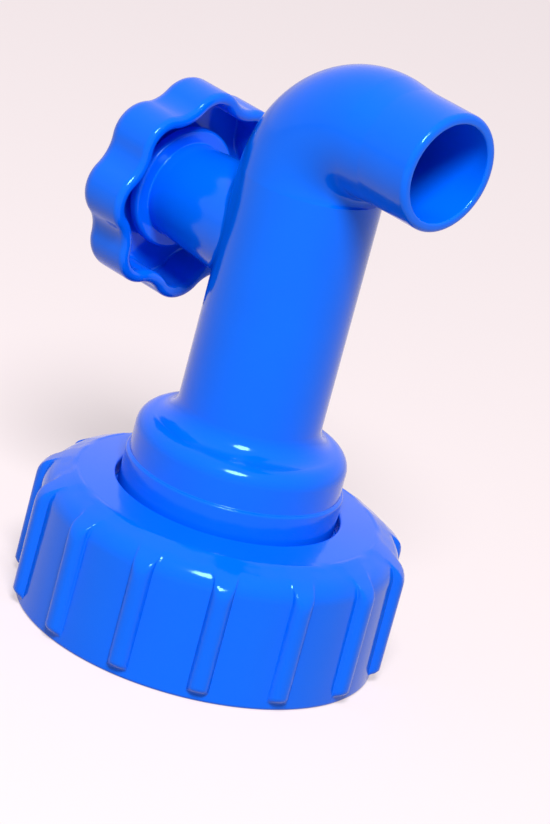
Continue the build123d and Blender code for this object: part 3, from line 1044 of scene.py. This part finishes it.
# Bright steel with faint turning marks in rings about the knob's axis
def turnedSteel(finish):
    material, place = startMaterial("turnedSteel")
    centred = place.node("ShaderNodeMapping", {"vector_type": "POINT"},
                         {"Vector": place, "Location": (0, 0, -knobHeight * mm)})
    marks = {"Vector": centred, "Scale": finish["marksPerMetre"],
             "Distortion": finish["markWander"], "Detail": 1}
    rings = place.node("ShaderNodeTexWave", {"wave_type": "RINGS", "rings_direction": "X"},
                       marks, output=1)
    cloud = patches(place, finish["cloud"], detail=3)
    shader = place.node("ShaderNodeBsdfPrincipled", inputs={
        "Base Color": mixColour(cloud, finish["deeper"], finish["colour"]),
        "Metallic": 1.0,
        "Roughness": finish["roughness"] + finish["roughnessSpread"] * cloud,
        "Normal": bump(rings, finish["bumpStrength"], finish["bumpDepth"]),
    })
    return finishMaterial(material, place, shader)


# Dressing the frame
blue = bluePlastic(plasticFinish)


# Gives a blue piece its material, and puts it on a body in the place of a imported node
def dress(piece, node, body):
    piece.data.materials.clear()
    piece.data.materials.append(blue)
    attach(piece, body)
    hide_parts(node)


print("cap")
dress(screwCap(capForm), "screw_cap", "cap")
print("body")
dress(tapBody(bodyForm, bossForm), "tap_body", "tap")
print("knob")
dress(lobedKnob(knobForm), "knob", "rotor")

print("small pieces")
acetal, gasket = acetalPlastic(acetalFinish), gasketRubber(gasketFinish)
seal, steel = sealRubber(sealFinish), turnedSteel(steelFinish)
for node, material in {
    "valve_plug": acetal,
    "thrust_washer": acetal,
    "neck_gasket": gasket,
    "inner_seal": seal,
    "outer_seal": seal,
    "retaining_ring": steel,
    "knob_screw": steel,
}.items():
    for slot in frame["nodes"][node].material_slots:
        slot.material = material


# Setting
setting = {
    "paper": (0.982, 0.877, 0.896, 1),
    "fibre": 0.002,
    "fibreBump": 0.05,
    "fibreDepth": 0.0002,
    "floorWidth": 8.0,
    "shadowKept": 0.4,  # share of the paper that takes the lamp's light and shadow
    "world": 0.29,
    "key": {"azimuth": 44, "elevation": 48, "distance": 1.3, "size": 0.42, "power": 20.5},
}


# 1 where a ray comes from the camera or by way of a mirror or glass, and 0 elsewhere
def seenRays(tree):
    camera = tree.node("ShaderNodeLightPath", output="Is Camera Ray")
    glossy = tree.node("ShaderNodeLightPath", output="Is Glossy Ray")
    clear = tree.node("ShaderNodeLightPath", output="Is Transmission Ray")
    return 1 - (1 - camera) * (1 - glossy) * (1 - clear)


# Pale paper: most of its colour is a glow that only seen rays meet, and the rest takes the light
# and the object's shadow
def paperFloor():
    material, place = startMaterial("paperFloor")
    fibre = patches(place, setting["fibre"], detail=4)
    fibre = bump(fibre, setting["fibreBump"], setting["fibreDepth"])
    kept = setting["shadowKept"]
    shaded = [kept * value for value in setting["paper"][:3]] + [1]
    paper = place.node("ShaderNodeBsdfDiffuse", inputs={"Color": shaded, "Normal": fibre})
    glowing = {"Color": setting["paper"], "Strength": 1 - kept}
    glow = place.node("ShaderNodeEmission", inputs=glowing)
    both = place.node("ShaderNodeAddShader", inputs={0: paper, 1: glow})
    mixed = place.node("ShaderNodeMixShader", inputs={0: seenRays(place), 1: paper, 2: both})
    half = setting["floorWidth"] / 2
    mesh = bpy.data.meshes.new("paperFloor")
    corners = [(-half, -half, 0), (half, -half, 0), (half, half, 0), (-half, half, 0)]
    mesh.from_pydata(corners, [], [(0, 1, 2, 3)])
    mesh.materials.append(finishMaterial(material, place, mixed))
    placed("paperFloor", mesh)


# Pale paper all round for seen rays, and an even white light for the rest
def paleWorld():
    world = bpy.data.worlds.new("paleWorld")
    bpy.context.scene.world = world
    world.use_nodes = True
    world.node_tree.nodes.clear()
    tree = Wire(world.node_tree)
    white = {"Color": (1, 1, 1, 1), "Strength": setting["world"]}
    light = tree.node("ShaderNodeBackground", inputs=white)
    paper = tree.node("ShaderNodeBackground", inputs={"Color": setting["paper"], "Strength": 1.0})
    mixed = tree.node("ShaderNodeMixShader", inputs={0: seenRays(tree), 1: light, 2: paper})
    tree.node("ShaderNodeOutputWorld", inputs={"Surface": mixed})


# Unit vector towards an azimuth, from -Y round towards +X, and an elevation
def towards(azimuth, elevation):
    a, e = math.radians(azimuth), math.radians(elevation)
    return Vector((math.sin(a) * math.cos(e), -math.cos(a) * math.cos(e), math.sin(e)))


# Round lamp that faces the middle of the tap
def softBox(name, lamp):
    data = bpy.data.lights.new(name, "AREA")
    data.shape = "DISK"
    data.size = lamp["size"]
    data.energy = lamp["power"]
    light = placed(name, data)
    way = towards(lamp["azimuth"], lamp["elevation"])
    middle = Vector(((cadBox[0].x + cadBox[1].x) / 2, 0, (cadBox[0].z + cadBox[1].z) / 2))
    light.location = middle + way * lamp["distance"]
    light.rotation_euler = way.to_track_quat("Z", "Y").to_euler()


photoView = {
    "azimuth": 41.573,
    "elevation": 19.918,
    "roll": 15.074,
    "distance": 0.840,
    "target": (0.00568, 0, 0.04536),
    "lens": 206.298,
    "film": 36,
}


# Camera of the photograph. It looks at the target from a distance and is rolled to the left.
def photoCamera(view):
    data = bpy.data.cameras.new("photoCamera")
    data.lens = view["lens"]
    data.sensor_width = data.sensor_height = view["film"]
    data.sensor_fit = "VERTICAL"
    data.clip_start = 0.01
    camera = placed("photoCamera", data)
    back = towards(view["azimuth"], view["elevation"])
    right = (-back).cross(Vector((0, 0, 1))).normalized()
    up = right.cross(-back)
    roll = math.radians(view["roll"])
    axisX = math.cos(roll) * right + math.sin(roll) * up
    axisY = math.cos(roll) * up - math.sin(roll) * right
    turned = Matrix((axisX, axisY, back)).transposed().to_4x4()
    position = Vector(view["target"]) + back * view["distance"]
    camera.matrix_world = Matrix.Translation(position) @ turned
    bpy.context.scene.camera = camera


print("setting")
paperFloor()
paleWorld()
softBox("keyLamp", setting["key"])
photoCamera(photoView)
bpy.context.scene.view_settings.view_transform = "Standard"
